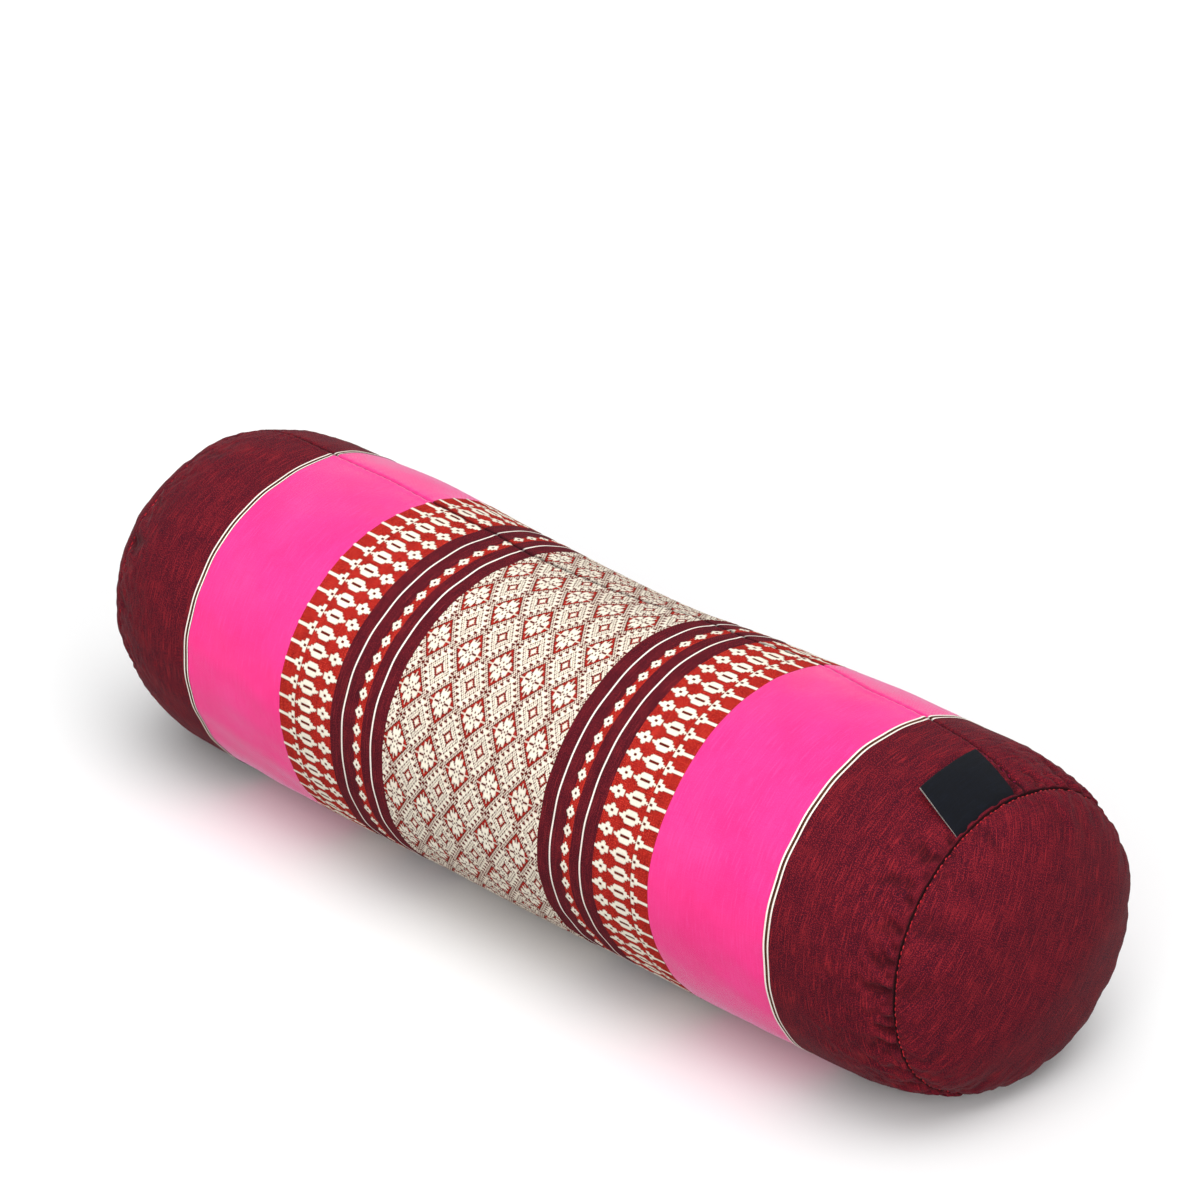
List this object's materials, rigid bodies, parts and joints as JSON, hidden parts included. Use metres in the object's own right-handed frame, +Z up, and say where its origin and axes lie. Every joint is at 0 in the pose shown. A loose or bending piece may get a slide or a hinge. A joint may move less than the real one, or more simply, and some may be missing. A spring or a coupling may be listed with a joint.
{
  "type": "yoga bolster",
  "caption": "Round kapok-filled yoga bolster lying on its side, in a banded cotton cover with domed end discs sewn in and a bare loop label in one end seam.",
  "frame": {"origin": "on the floor under the middle of the roll's bounding box", "axes": "+X along the roll towards the labelled end, +Z up, -Y the side that the picture shows"},
  "size_m": [0.501, 0.1526, 0.1417],
  "materials": {
    "kapok": "loose matte fibre",
    "lining": "plain undyed cotton",
    "cream_weave": "matte cotton, cream pattern yarn on red",
    "maroon_stripe": "matte cotton",
    "red_motif": "matte cotton, cream pattern yarn on red",
    "pink_cotton": "matte cotton",
    "cream_line": "matte cotton",
    "maroon_cotton": "matte slubbed cotton with a darker weft",
    "thread": "satin sewing thread",
    "label_black": "woven satin"
  },
  "bodies": {
    "root": {"kapok_fill": "kapok", "lining_tube": "lining", "lining_disc_left": "lining", "lining_disc_right": "lining", "centre_panel": "cream_weave", "stripe_band_left": "maroon_stripe", "stripe_band_right": "maroon_stripe", "motif_band_left": "red_motif", "motif_band_right": "red_motif", "pink_band_left": "pink_cotton", "pink_band_right": "pink_cotton", "cream_line_left": "cream_line", "cream_line_right": "cream_line", "end_sleeve_left": "maroon_cotton", "end_sleeve_right": "maroon_cotton", "end_disc_left": "maroon_cotton", "end_disc_right": "maroon_cotton", "end_seam_thread_left": "thread", "end_seam_thread_right": "thread", "side_seam_thread": "thread", "label": "label_black"}
  },
  "joints": []
}
